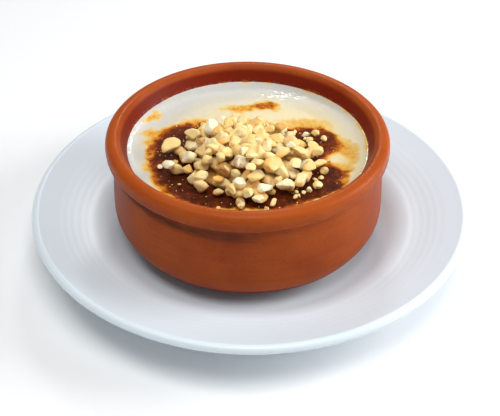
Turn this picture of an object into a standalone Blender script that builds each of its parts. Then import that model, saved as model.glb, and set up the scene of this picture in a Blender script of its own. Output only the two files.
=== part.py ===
"""Oven-baked rice pudding in a round clay bowl, with a heap of chopped nuts, on a white plate.

Units are metres and +Z is up.  The origin is at the bottom centre of the plate's foot ring.
"""

import math
import random

import bmesh
import bpy

# Plate
PLATE_RADIUS = 0.0951
PLATE_EDGE_HEIGHT = 0.0228
PLATE_EDGE_HALF_WIDTH = 0.0025
PLATE_EDGE_HALF_THICKNESS = 0.0020
WELL_RADIUS = 0.0661
WELL_EDGE_HEIGHT = 0.0135
WELL_FLOOR_RADIUS = 0.0500
WELL_FLOOR_HEIGHT = 0.0071
FOOT_INNER_RADIUS = 0.0530
FOOT_OUTER_RADIUS = 0.0560
FOOT_DEPTH = 0.0028
PLATE_THICKNESS = 0.0040

# Clay bowl
BOWL_OFFSET_X = -0.0010
BOWL_BASE_RADIUS = 0.0390
BOWL_BELLY_RADIUS = 0.0580
BOWL_BELLY_RISE = 0.0168
BOWL_NECK_RADIUS = 0.0566
LIP_RADIUS = 0.0600
LIP_ROLL_RADIUS = 0.0043
LIP_TOP_HEIGHT = 0.0570
LIP_DRIFT = -0.0004
BOWL_INSIDE_TOP_RADIUS = 0.0548
BOWL_INSIDE_RADIUS = 0.0504
BOWL_INSIDE_FLOOR_RADIUS = 0.0330
BOWL_FLOOR_THICKNESS = 0.0065

# Rice pudding
PUDDING_HEIGHT = 0.0503
PUDDING_RADIUS = 0.0507
SKIN_FLAT_RADIUS = 0.0360
SKIN_SAG = 0.0005
SKIN_CLIMB = 0.0007

# Heap of chopped nuts
HEAP_CENTRE_X = -0.0035
HEAP_CENTRE_Y = -0.0140
HEAP_RADIUS = 0.0308
HEAP_HEIGHT = 0.0110
HEAP_EDGE_HEIGHT = 0.0022
NUT_RADIUS_LOW = 0.0026
NUT_RADIUS_HIGH = 0.0042
NUT_COUNT = 90
NUT_SEED = 11

# Clearance between touching pieces, and mesh fineness
GAP = 0.0003
MERGE_DISTANCE = 0.00001
PLATE_SEGMENTS = 64
BOWL_SEGMENTS = 56
PUDDING_SEGMENTS = 48
HEAP_SEGMENTS = 60
HEAP_RINGS = 16


def clear_scene():
    """Remove every object of the open scene."""
    for obj in list(bpy.data.objects):
        bpy.data.objects.remove(obj, do_unlink=True)


def plain_material(name, colour, roughness):
    """Return a Principled material of one colour."""
    material = bpy.data.materials.new(name)
    material.use_nodes = True
    shader = material.node_tree.nodes["Principled BSDF"]
    shader.inputs["Base Color"].default_value = (*colour, 1.0)
    shader.inputs["Roughness"].default_value = roughness
    shader.inputs["Metallic"].default_value = 0.0
    return material


def ellipse_arc(centre, half_width, half_height, start, end, steps):
    """Return points (r, z) on an ellipse from the start to the end angle, in degrees."""
    points = []
    for step in range(steps + 1):
        angle = math.radians(start + (end - start) * step / steps)
        r = centre[0] + half_width * math.cos(angle)
        z = centre[1] + half_height * math.sin(angle)
        points.append((r, z))
    return points


def blend(low, high, share):
    """Return the value that lies a share of the way from low to high."""
    return low + (high - low) * share


def turned_mesh(name, profile, segments):
    """Spin a profile, from the axis out and back to the axis, into one closed mesh."""
    shape = bmesh.new()
    points = [shape.verts.new((r, 0.0, z)) for r, z in profile]
    edges = [shape.edges.new(pair) for pair in zip(points, points[1:])]
    bmesh.ops.spin(
        shape,
        geom=points + edges,
        cent=(0.0, 0.0, 0.0),
        axis=(0.0, 0.0, 1.0),
        angle=2.0 * math.pi,
        steps=segments,
        use_merge=True,
    )
    bmesh.ops.remove_doubles(shape, verts=shape.verts[:], dist=MERGE_DISTANCE)
    bmesh.ops.recalc_face_normals(shape, faces=shape.faces[:])
    mesh = bpy.data.meshes.new(name)
    shape.to_mesh(mesh)
    shape.free()
    return mesh


def add_object(name, mesh, material, smooth_angle=35.0):
    """Put a mesh in the scene as a named, smooth-shaded object."""
    mesh.materials.append(material)
    mesh.shade_smooth()
    mesh.set_sharp_from_angle(angle=math.radians(smooth_angle))
    obj = bpy.data.objects.new(name, mesh)
    bpy.context.collection.objects.link(obj)
    return obj


def plate_top_profile():
    """Return the plate's upper side, from the axis to the top of its edge."""
    points = [(0.0, WELL_FLOOR_HEIGHT)]
    cove_steps = 4
    for step in range(cove_steps + 1):
        share = step / cove_steps
        r = blend(WELL_FLOOR_RADIUS, WELL_RADIUS, share)
        z = blend(WELL_FLOOR_HEIGHT, WELL_EDGE_HEIGHT, share**1.8)
        points.append((r, z))
    edge_top_radius = PLATE_RADIUS - PLATE_EDGE_HALF_WIDTH
    rim_steps = 5
    for step in range(1, rim_steps):
        share = step / rim_steps
        r = blend(WELL_RADIUS, edge_top_radius, share)
        z = blend(WELL_EDGE_HEIGHT, PLATE_EDGE_HEIGHT, share**1.35)
        points.append((r, z))
    return points


def plate_under_profile():
    """Return the plate's underside, from below its edge back to the axis."""
    edge_top_radius = PLATE_RADIUS - PLATE_EDGE_HALF_WIDTH
    edge_under_height = PLATE_EDGE_HEIGHT - 2.0 * PLATE_EDGE_HALF_THICKNESS
    shoulder = (WELL_RADIUS, WELL_EDGE_HEIGHT - PLATE_THICKNESS)
    halfway = (
        blend(edge_top_radius, shoulder[0], 0.5),
        blend(edge_under_height, shoulder[1], 0.56),
    )
    foot_draft = 0.0008
    return [
        halfway,
        shoulder,
        (FOOT_OUTER_RADIUS + foot_draft, FOOT_DEPTH + 0.0012),
        (FOOT_OUTER_RADIUS, 0.0),
        (FOOT_INNER_RADIUS, 0.0),
        (FOOT_INNER_RADIUS - foot_draft, FOOT_DEPTH),
        (0.0, FOOT_DEPTH),
    ]


def build_plate():
    """Build the white plate with its foot ring, well and wide rising rim."""
    edge_centre = (
        PLATE_RADIUS - PLATE_EDGE_HALF_WIDTH,
        PLATE_EDGE_HEIGHT - PLATE_EDGE_HALF_THICKNESS,
    )
    edge = ellipse_arc(edge_centre, PLATE_EDGE_HALF_WIDTH, PLATE_EDGE_HALF_THICKNESS, 90.0, -90.0, 6)
    profile = plate_top_profile() + edge + plate_under_profile()
    mesh = turned_mesh("plate", profile, PLATE_SEGMENTS)
    return add_object("plate", mesh, plain_material("white_glaze", (0.80, 0.82, 0.83), 0.15))


def bowl_base_height():
    """Return the height of the bowl's underside on the plate."""
    return WELL_FLOOR_HEIGHT + GAP


def bowl_outer_profile():
    """Return the bowl's outside, from the axis below to the neck under the lip."""
    base = bowl_base_height()
    belly = ellipse_arc(
        (BOWL_BASE_RADIUS, base + BOWL_BELLY_RISE),
        BOWL_BELLY_RADIUS - BOWL_BASE_RADIUS,
        BOWL_BELLY_RISE,
        -90.0,
        0.0,
        7,
    )
    neck_height = LIP_TOP_HEIGHT - 2.0 * LIP_ROLL_RADIUS
    wall_steps = 3
    wall = []
    for step in range(1, wall_steps + 1):
        share = step / wall_steps
        r = blend(BOWL_BELLY_RADIUS, BOWL_NECK_RADIUS, share**2)
        z = blend(base + BOWL_BELLY_RISE, neck_height, share)
        wall.append((r, z))
    return [(0.0, base)] + belly + wall


def bowl_lip_profile():
    """Return the rolled lip, from its underside over the top to its inner edge."""
    centre = (LIP_RADIUS - LIP_ROLL_RADIUS, LIP_TOP_HEIGHT - LIP_ROLL_RADIUS)
    roll = ellipse_arc(centre, LIP_ROLL_RADIUS, LIP_ROLL_RADIUS, -58.0, 90.0, 7)
    inner_edge_drop = 0.0003
    return roll + [(BOWL_INSIDE_TOP_RADIUS, LIP_TOP_HEIGHT - inner_edge_drop)]


def bowl_inside_profile(clearance):
    """Return the bowl's inside below the fill line, down to the axis, moved in by a clearance."""
    floor = bowl_base_height() + BOWL_FLOOR_THICKNESS + clearance
    corner_rise = 0.0190
    side = (BOWL_INSIDE_RADIUS - clearance, PUDDING_HEIGHT - 0.0060)
    corner = ellipse_arc(
        (BOWL_INSIDE_FLOOR_RADIUS - clearance, floor + corner_rise),
        BOWL_INSIDE_RADIUS - BOWL_INSIDE_FLOOR_RADIUS,
        corner_rise,
        0.0,
        -90.0,
        5,
    )
    return [side] + corner + [(0.0, floor)]


def lean_with_height(mesh):
    """Shift each point sideways, so that the lip stands slightly off the axis of the base."""
    base = bowl_base_height()
    for vertex in mesh.vertices:
        share = (vertex.co.z - base) / (LIP_TOP_HEIGHT - base)
        vertex.co.x += BOWL_OFFSET_X + LIP_DRIFT * share


def build_clay_bowl():
    """Build the hand-thrown clay bowl with its rolled lip."""
    fill_line = [(PUDDING_RADIUS + GAP, PUDDING_HEIGHT)]
    profile = bowl_outer_profile() + bowl_lip_profile() + fill_line + bowl_inside_profile(0.0)
    mesh = turned_mesh("clay_bowl", profile, BOWL_SEGMENTS)
    lean_with_height(mesh)
    return add_object("clay_bowl", mesh, plain_material("red_clay", (0.30, 0.075, 0.028), 0.45))


def skin_height(x, y):
    """Return the height of the pudding's baked skin at a point of the bowl.

    The skin is flat in the middle, sags a little in shallow dips around it, and climbs at the wall.
    """
    distance = math.hypot(x, y)
    angle = math.atan2(y, x)
    outwards = max(0.0, (distance - SKIN_FLAT_RADIUS) / (PUDDING_RADIUS - SKIN_FLAT_RADIUS))
    waves = 0.5 + 0.3 * math.sin(3.0 * angle + 0.6) + 0.2 * math.sin(7.0 * angle + 2.0)
    dip = SKIN_SAG * waves * math.sin(math.pi * min(outwards, 1.0))
    climb = SKIN_CLIMB * outwards**8
    return PUDDING_HEIGHT - SKIN_CLIMB - dip + climb


def build_rice_pudding():
    """Build the pudding, which fills the bowl up to its slightly uneven skin."""
    ring_shares = (1.0, 0.97, 0.92, 0.86, 0.79, 0.70, 0.40)
    skin = [(PUDDING_RADIUS * share, PUDDING_HEIGHT) for share in ring_shares]
    inside = bowl_inside_profile(GAP)
    profile = [(0.0, PUDDING_HEIGHT)] + skin[::-1] + inside
    mesh = turned_mesh("rice_pudding", profile, PUDDING_SEGMENTS)
    for vertex in mesh.vertices:
        if vertex.co.z > PUDDING_HEIGHT - MERGE_DISTANCE:
            vertex.co.z = skin_height(vertex.co.x, vertex.co.y)
    lean_with_height(mesh)
    return add_object("rice_pudding", mesh, plain_material("baked_milk", (0.75, 0.66, 0.52), 0.35))


def heap_outline(angle):
    """Return the heap's uneven radius in a direction."""
    broad = 0.03 * math.sin(2.0 * angle + 0.9)
    lobed = 0.02 * math.sin(5.0 * angle + 0.4) + 0.02 * math.sin(9.0 * angle + 1.3)
    return HEAP_RADIUS * (1.0 + broad + lobed)


def mound_height(share):
    """Return the mound's height at a share of the way from its centre to its edge."""
    crown = max(0.0, math.cos(0.5 * math.pi * share)) ** 1.2
    return blend(HEAP_EDGE_HEIGHT, HEAP_HEIGHT, crown)


def scattered_nuts():
    """Return (x, y, z, radius) of the rounded bits that make the mound's surface lumpy."""
    generator = random.Random(NUT_SEED)
    golden_angle = math.pi * (3.0 - math.sqrt(5.0))
    nuts = []
    for index in range(NUT_COUNT):
        share = math.sqrt((index + 0.5) / NUT_COUNT)
        angle = index * golden_angle + generator.uniform(-0.15, 0.15)
        distance = share * heap_outline(angle)
        radius = generator.uniform(NUT_RADIUS_LOW, NUT_RADIUS_HIGH)
        z = mound_height(share) - 0.35 * radius + generator.uniform(-0.0006, 0.0006)
        nuts.append((distance * math.cos(angle), distance * math.sin(angle), z, radius))
    return nuts


def lumpy_height(x, y, share, nuts):
    """Return the height of the lumpy mound: the highest of the bits over a point."""
    height = mound_height(share) - 0.0012
    for nut_x, nut_y, nut_z, radius in nuts:
        reach = radius * radius - (x - nut_x) ** 2 - (y - nut_y) ** 2
        if reach > 0.0:
            height = max(height, nut_z + math.sqrt(reach))
    return height


def build_nut_heap():
    """Build the heap of chopped nuts as one lumpy solid on the skin."""
    base = PUDDING_HEIGHT - SKIN_CLIMB + GAP
    dome = [(ring / HEAP_RINGS, 1.0) for ring in range(HEAP_RINGS + 1)]
    profile = dome + [(1.0, 0.0), (0.0, 0.0)]
    mesh = turned_mesh("nut_heap", profile, HEAP_SEGMENTS)
    nuts = scattered_nuts()
    for vertex in mesh.vertices:
        share = math.hypot(vertex.co.x, vertex.co.y)
        angle = math.atan2(vertex.co.y, vertex.co.x)
        x = share * heap_outline(angle) * math.cos(angle)
        y = share * heap_outline(angle) * math.sin(angle)
        rise = 0.0
        if vertex.co.z > 0.5:
            fall_off = min(1.0, (1.0 - share) * HEAP_RINGS + 0.45)
            rise = lumpy_height(x, y, share, nuts) * fall_off
        vertex.co = (x + HEAP_CENTRE_X, y + HEAP_CENTRE_Y, base + rise)
    return add_object("nut_heap", mesh, plain_material("chopped_nut", (0.78, 0.60, 0.36), 0.55))


def main():
    """Build the plate, the bowl, the pudding and the nuts."""
    clear_scene()
    build_plate()
    build_clay_bowl()
    build_rice_pudding()
    build_nut_heap()


main()
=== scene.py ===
"""Looks of an oven-baked rice pudding in a clay bowl, with chopped hazelnuts, on a white plate.

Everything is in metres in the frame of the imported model, with +Z up.  Each class below holds the sizes
of one part of the dish, builds its meshes and dresses them in one of the finishes.
"""

import logging
import math
import random
from dataclasses import dataclass, field
from enum import Enum
from typing import Callable

import bmesh
import bpy
import numpy as np
from mathutils import Matrix, Quaternion, Vector, noise


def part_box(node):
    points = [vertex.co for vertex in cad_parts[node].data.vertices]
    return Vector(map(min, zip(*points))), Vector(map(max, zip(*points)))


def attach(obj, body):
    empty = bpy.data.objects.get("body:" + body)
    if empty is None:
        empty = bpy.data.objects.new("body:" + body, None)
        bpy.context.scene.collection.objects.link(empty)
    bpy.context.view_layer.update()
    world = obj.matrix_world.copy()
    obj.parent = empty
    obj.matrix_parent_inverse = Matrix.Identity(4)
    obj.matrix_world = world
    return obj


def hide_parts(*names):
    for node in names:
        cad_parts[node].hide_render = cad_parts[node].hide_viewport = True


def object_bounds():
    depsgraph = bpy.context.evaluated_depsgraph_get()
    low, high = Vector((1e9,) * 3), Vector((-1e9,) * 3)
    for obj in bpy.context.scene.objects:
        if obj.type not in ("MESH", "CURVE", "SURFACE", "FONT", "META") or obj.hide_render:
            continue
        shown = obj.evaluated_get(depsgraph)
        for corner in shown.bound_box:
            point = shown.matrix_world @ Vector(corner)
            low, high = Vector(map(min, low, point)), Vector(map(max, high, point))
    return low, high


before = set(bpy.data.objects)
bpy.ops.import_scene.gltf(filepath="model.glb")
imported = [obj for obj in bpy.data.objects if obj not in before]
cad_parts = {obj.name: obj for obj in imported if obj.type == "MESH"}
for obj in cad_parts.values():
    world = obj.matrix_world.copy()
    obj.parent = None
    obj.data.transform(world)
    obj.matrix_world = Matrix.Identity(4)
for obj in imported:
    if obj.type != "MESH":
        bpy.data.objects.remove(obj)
CAD_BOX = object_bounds()

LOG = logging.getLogger("rice_pudding")
MM = 0.001
AXIS_RADIUS = 2.0 * MM

Colour = tuple[float, float, float]
Point2 = tuple[float, float]
Point3 = tuple[float, float, float]
Face = tuple[int, ...]
Warp = Callable[[float, float, float], Point2]
Socket = bpy.types.NodeSocket
Value = Socket | float
Paint = Socket | Colour


class Slot(Enum):
    """The record's material slots, one for each finish of the dish."""

    GLAZE = "white_glaze"
    CLAY = "red_clay"
    SKIN = "baked_milk"
    NUT = "chopped_nut"


# ---------------------------------------------------------------- small mathematics


def blend(low: float, high: float, share: float) -> float:
    """Return the value a share of the way from low to high."""
    return low + (high - low) * share


def smooth_step(low: float, high: float, value: float) -> float:
    """Return 0 below low and 1 above high, with a smooth rise between them."""
    share = min(1.0, max(0.0, (value - low) / (high - low)))
    return share * share * (3.0 - 2.0 * share)


def ripple(x: float, y: float, z: float, size: float, seed: float = 0.0) -> float:
    """Return smooth noise from about -1 to 1 whose bumps have the given size."""
    return noise.noise(Vector((x / size + seed, y / size - seed, z / size + 2.0 * seed)))


def arc(
    centre: Point2, half_width: float, half_height: float, start: float, end: float, steps: int
) -> list[Point2]:
    """Trace part of an ellipse in the (radius, height) plane.

    Args:
        centre: The ellipse's centre.
        half_width: Its half axis along the radius.
        half_height: Its half axis along the height.
        start: The first angle in degrees, 0 pointing outwards and 90 up.
        end: The last angle in degrees.
        steps: How many stretches the arc is cut into.

    Returns:
        The points from start to end, both included.
    """
    points = []
    for step in range(steps + 1):
        angle = math.radians(blend(start, end, step / steps))
        radius = centre[0] + half_width * math.cos(angle)
        height = centre[1] + half_height * math.sin(angle)
        points.append((radius, height))
    return points


def round_the_axis(segments: int) -> list[Point2]:
    """Return the cosine and the sine of evenly spaced directions round an axis."""
    angles = [2.0 * math.pi * segment / segments for segment in range(segments)]
    return [(math.cos(angle), math.sin(angle)) for angle in angles]


def smooth_profile(points: list[Point2], spacing: float) -> list[Point2]:
    """Refill a profile with points at an even spacing along its straight stretches.

    Args:
        points: The profile's corners, in order.
        spacing: The longest distance left between two points.

    Returns:
        The corners and the points between them.
    """
    filled = [points[0]]
    for start, end in zip(points, points[1:]):
        steps = max(1, math.ceil(math.dist(start, end) / spacing))
        for step in range(1, steps + 1):
            filled.append((blend(start[0], end[0], step / steps), blend(start[1], end[1], step / steps)))
    return filled


# ---------------------------------------------------------------- meshes


def new_piece(name: str, vertices: list[Point3], faces: list[Face]) -> bpy.types.Object:
    """Put a smooth-shaded mesh object in the scene.

    Args:
        name: The piece's name.
        vertices: Its points.
        faces: Its faces as tuples of point numbers.

    Returns:
        The new object.
    """
    mesh = bpy.data.meshes.new(name)
    mesh.from_pydata(vertices, [], faces)
    mesh.update()
    mesh.shade_smooth()
    piece = bpy.data.objects.new(name, mesh)
    bpy.context.collection.objects.link(piece)
    return piece


def ring_faces(rings: int, segments: int) -> list[Face]:
    """List the faces of a closed piece made of rings of points between two end points.

    Args:
        rings: How many rings there are. Their points follow the first end point, ring by ring.
        segments: How many points each ring has.

    Returns:
        The faces, which point out when the rings run upwards.
    """
    last_ring = 1 + (rings - 1) * segments
    last_point = 1 + rings * segments
    faces = []
    for segment in range(segments):
        after = (segment + 1) % segments
        faces.append((0, 1 + after, 1 + segment))
        for low in range(1, last_ring, segments):
            high = low + segments
            faces.append((low + segment, low + after, high + after, high + segment))
        faces.append((last_ring + segment, last_ring + after, last_point))
    return faces


def turned_piece(
    name: str, profile: list[Point2], segments: int, warp: Warp, centre_x: float = 0.0
) -> bpy.types.Object:
    """Turn a profile round the vertical axis into one closed piece.

    Args:
        name: The piece's name.
        profile: Its (radius, height) points, from the axis below, out, and back to the axis above.
        segments: How many points each ring has.
        warp: Gives the true (radius, height) of a point from its radius, height and angle.
        centre_x: Where the axis stands.

    Returns:
        The new object, its faces pointing out.
    """
    vertices = [(centre_x, 0.0, profile[0][1])]
    for radius, height in profile[1:-1]:
        for segment in range(segments):
            angle = 2.0 * math.pi * segment / segments
            true_radius, true_height = warp(radius, height, angle)
            x = centre_x + true_radius * math.cos(angle)
            vertices.append((x, true_radius * math.sin(angle), true_height))
    last_radius, last_height = warp(0.0, profile[-1][1], 0.0)
    vertices.append((centre_x + last_radius, 0.0, last_height))
    return new_piece(name, vertices, ring_faces(len(profile) - 2, segments))


def paint(piece: bpy.types.Object, name: str, values: np.ndarray) -> None:
    """Store one number per point of a piece, for its material to read.

    Args:
        piece: The piece.
        name: The attribute's name.
        values: One number for each of the mesh's points.
    """
    attribute = piece.data.attributes.new(name, "FLOAT", "POINT")
    attribute.data.foreach_set("value", np.asarray(values, dtype=np.float32))


def paint_by_place(piece: bpy.types.Object, name: str, rule: Callable[[Vector], float]) -> None:
    """Store one number per point, worked out from where the point is.

    Args:
        piece: The piece.
        name: The attribute's name.
        rule: Gives the number at a place.
    """
    paint(piece, name, np.array([rule(vertex.co) for vertex in piece.data.vertices]))


def dress(piece: bpy.types.Object, finish: bpy.types.Material, slot: Slot, *nodes: str) -> None:
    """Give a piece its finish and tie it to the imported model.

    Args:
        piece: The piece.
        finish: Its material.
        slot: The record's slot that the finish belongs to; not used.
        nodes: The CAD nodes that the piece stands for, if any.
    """
    piece.data.materials.append(finish)
    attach(piece, "root")
    if nodes:
        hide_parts(*nodes)
    LOG.info("%s: %d points, %d faces", piece.name, len(piece.data.vertices), len(piece.data.polygons))


# ---------------------------------------------------------------- shader wiring


class Wiring:
    """Adds and links the nodes of one shader tree."""

    def __init__(self, tree: bpy.types.NodeTree) -> None:
        """Keep the tree that is wired."""
        self.tree = tree

    def add(self, kind: str, inputs: dict | None = None, **settings: object) -> bpy.types.Node:
        """Add a node.

        Args:
            kind: The node's type name without its "ShaderNode" prefix.
            inputs: Input names or numbers, each with the output linked to it or the value it holds.
            settings: The node's own settings.

        Returns:
            The new node.
        """
        node = self.tree.nodes.new("ShaderNode" + kind)
        for key, value in settings.items():
            setattr(node, key, value)
        self.fill(node, inputs or {})
        return node

    def fill(self, node: bpy.types.Node, inputs: dict) -> None:
        """Link or set a node's inputs.

        Args:
            node: The node.
            inputs: Input names or numbers, each with the output linked to it or the value it holds.
        """
        for key, value in inputs.items():
            if isinstance(value, Socket):
                self.tree.links.new(value, node.inputs[key])
            else:
                node.inputs[key].default_value = value

    def math(self, operation: str, first: Value, second: Value = 0.0, clamp: bool = False) -> Socket:
        """Add a Math node and return its output."""
        node = self.add("Math", {0: first, 1: second}, operation=operation, use_clamp=clamp)
        return node.outputs[0]

    def mix(self, share: Value, first: Paint, second: Paint) -> Socket:
        """Add a colour Mix node and return its output.

        Args:
            share: How much of the second colour is taken.
            first: A colour or an output.
            second: A colour or an output.

        Returns:
            The mixed colour.
        """
        node = self.add("Mix", data_type="RGBA", clamp_factor=True)
        for index, value in ((0, share), (6, first), (7, second)):
            if isinstance(value, Socket):
                self.tree.links.new(value, node.inputs[index])
            elif index == 0:
                node.inputs[index].default_value = value
            else:
                node.inputs[index].default_value = (*value, 1.0)
        return node.outputs[2]

    def ramp(self, share: Socket, stops: tuple[tuple[float, Colour], ...]) -> Socket:
        """Add a colour ramp and return its colour.

        Args:
            share: The output that runs along the ramp.
            stops: Each stop's place and colour, in order.

        Returns:
            The ramp's colour output.
        """
        node = self.add("ValToRGB", {0: share})
        elements = node.color_ramp.elements
        while len(elements) < len(stops):
            elements.new(1.0)
        for element, (place, colour) in zip(elements, stops):
            element.position = place
            element.color = (*colour, 1.0)
        return node.outputs[0]

    def map_range(self, value: Socket, low: float, high: float, start: float, end: float) -> Socket:
        """Add a clamped Map Range node from (low, high) to (start, end) and return its output."""
        return self.add("MapRange", {0: value, 1: low, 2: high, 3: start, 4: end}, clamp=True).outputs[0]

    def attribute(self, name: str) -> Socket:
        """Read a number stored on the mesh."""
        return self.add("Attribute", attribute_name=name).outputs["Fac"]

    def place(self) -> Socket:
        """Read the place on the piece, in metres."""
        return self.add("TexCoord").outputs["Object"]

    def stretched(self, place: Socket, stretch: Point3) -> Socket:
        """Stretch a place along the axes, so that a pattern there is drawn out or squeezed."""
        return self.add("Mapping", {"Vector": place, "Scale": stretch}).outputs[0]


@dataclass(frozen=True)
class Patches:
    """The cloudy patches of an effect: their scale, and the noise values between which they fade in."""

    scale: float
    low: float
    high: float


def open_group(
    name: str, numbers: dict[str, float], output: str
) -> tuple[Wiring, dict[str, Socket], Socket]:
    """Start a shader node group that turns a place and some numbers into one number.

    Args:
        name: The group's name.
        numbers: The names of its number inputs, each with its usual value.
        output: The name of its output.

    Returns:
        The group's wiring, its inputs' sockets by name and its output's socket.
    """
    tree = bpy.data.node_groups.new(name, "ShaderNodeTree")
    tree.interface.new_socket(name="Place", in_out="INPUT", socket_type="NodeSocketVector")
    for label, usual in numbers.items():
        socket = tree.interface.new_socket(name=label, in_out="INPUT", socket_type="NodeSocketFloat")
        socket.default_value = usual
    tree.interface.new_socket(name=output, in_out="OUTPUT", socket_type="NodeSocketFloat")
    entry = tree.nodes.new("NodeGroupInput")
    leave = tree.nodes.new("NodeGroupOutput")
    return Wiring(tree), {socket.name: socket for socket in entry.outputs}, leave.inputs[output]


class EffectGroups:
    """The shader node groups that several finishes share, each built once."""

    def __init__(self) -> None:
        """Build the groups."""
        self.mottle_tree = self.build_mottle()
        self.grain_tree = self.build_grain()

    @staticmethod
    def build_mottle() -> bpy.types.NodeTree:
        """Build the mottle group: cloudy patches between two thresholds.

        Returns:
            The group's tree.
        """
        usual = {"Scale": 60.0, "Low": 0.4, "High": 0.6}
        wiring, given, mask = open_group("Mottle", usual, "Mask")
        noise_inputs = {"Vector": given["Place"], "Scale": given["Scale"], "Detail": 4.0}
        clouds = wiring.add("TexNoise", noise_inputs)
        range_inputs = {0: clouds.outputs[0], 1: given["Low"], 2: given["High"]}
        patches = wiring.add("MapRange", range_inputs, clamp=True)
        wiring.tree.links.new(patches.outputs[0], mask)
        return wiring.tree

    @staticmethod
    def build_grain() -> bpy.types.NodeTree:
        """Build the grain group: a fine height made of a coarse and a fine noise.

        Returns:
            The group's tree.
        """
        coarse_share = 0.23
        usual = {"Scale": 900.0, "Coarseness": 0.5}
        wiring, given, height = open_group("Fine grain", usual, "Height")
        coarse_scale = wiring.math("MULTIPLY", given["Scale"], coarse_share)
        fine_inputs = {"Vector": given["Place"], "Scale": given["Scale"], "Detail": 3.0}
        coarse_inputs = {"Vector": given["Place"], "Scale": coarse_scale, "Detail": 2.0}
        fine = wiring.add("TexNoise", fine_inputs)
        coarse = wiring.add("TexNoise", coarse_inputs)
        lifted = wiring.math("MULTIPLY", coarse.outputs[0], given["Coarseness"])
        wiring.tree.links.new(wiring.math("ADD", fine.outputs[0], lifted), height)
        return wiring.tree

    def mottle(self, wiring: Wiring, place: Socket, patches: Patches) -> Socket:
        """Place the mottle group in a material.

        Args:
            wiring: The material's wiring.
            place: Where on the piece the mask is read.
            patches: The size and the softness of the patches.

        Returns:
            The group's mask.
        """
        inputs = {"Place": place, "Scale": patches.scale, "Low": patches.low, "High": patches.high}
        node = wiring.add("Group", node_tree=self.mottle_tree)
        wiring.fill(node, inputs)
        return node.outputs["Mask"]

    def painted_mottle(self, wiring: Wiring, place: Socket, patches: Patches, attribute: str) -> Socket:
        """Place the mottle group and keep its patches where a number painted on the mesh asks for them."""
        return wiring.math("MULTIPLY", self.mottle(wiring, place, patches), wiring.attribute(attribute))

    def grain(self, wiring: Wiring, place: Socket, scale: float, coarseness: float) -> Socket:
        """Place the fine grain group in a material.

        Args:
            wiring: The material's wiring.
            place: Where on the piece the height is read.
            scale: How fine the grain is.
            coarseness: How strong the coarse noise is beside the fine one.

        Returns:
            The group's height.
        """
        node = wiring.add("Group", node_tree=self.grain_tree)
        wiring.fill(node, {"Place": place, "Scale": scale, "Coarseness": coarseness})
        return node.outputs["Height"]


def open_material(name: str) -> tuple[bpy.types.Material, Wiring, bpy.types.Node]:
    """Start a node material.

    Args:
        name: The material's name.

    Returns:
        The material, its wiring and its Principled shader.
    """
    material = bpy.data.materials.new(name)
    material.use_nodes = True
    wiring = Wiring(material.node_tree)
    return material, wiring, material.node_tree.nodes["Principled BSDF"]


def finish_shader(
    wiring: Wiring,
    shader: bpy.types.Node,
    colour: Socket,
    roughness: Socket,
    height: Socket,
    depth: float,
) -> None:
    """Link colour, roughness and relief to a Principled shader.

    Args:
        wiring: The material's wiring.
        shader: The Principled shader.
        colour: Its base colour.
        roughness: Its roughness.
        height: The relief's height.
        depth: How deep the relief is, in metres.
    """
    bump = wiring.add("Bump", {"Height": height, "Distance": depth})
    wiring.tree.links.new(colour, shader.inputs["Base Color"])
    wiring.tree.links.new(roughness, shader.inputs["Roughness"])
    wiring.tree.links.new(bump.outputs[0], shader.inputs["Normal"])


# ---------------------------------------------------------------- finishes


@dataclass(frozen=True)
class GlazeFinish:
    """White glazed porcelain with a faint cool tint."""

    body: Colour = (0.76, 0.85, 0.91)
    thin: Colour = (0.735, 0.825, 0.89)
    roughness: tuple[float, float] = (0.32, 0.36)
    clouds: Patches = Patches(11.0, 0.1, 0.9)
    ripple_scale: float = 420.0
    ripple_coarseness: float = 1.0
    ripple_depth: float = 0.008 * MM

    def build(self, groups: EffectGroups) -> bpy.types.Material:
        """Build the material from the shared groups.

        Args:
            groups: The shared shader node groups.

        Returns:
            The material.
        """
        material, wiring, shader = open_material("white_glaze")
        place = wiring.place()
        clouds = groups.mottle(wiring, place, self.clouds)
        colour = wiring.mix(clouds, self.body, self.thin)
        roughness = wiring.map_range(clouds, 0.0, 1.0, *self.roughness)
        height = groups.grain(wiring, place, self.ripple_scale, self.ripple_coarseness)
        finish_shader(wiring, shader, colour, roughness, height, self.ripple_depth)
        return material


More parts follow.
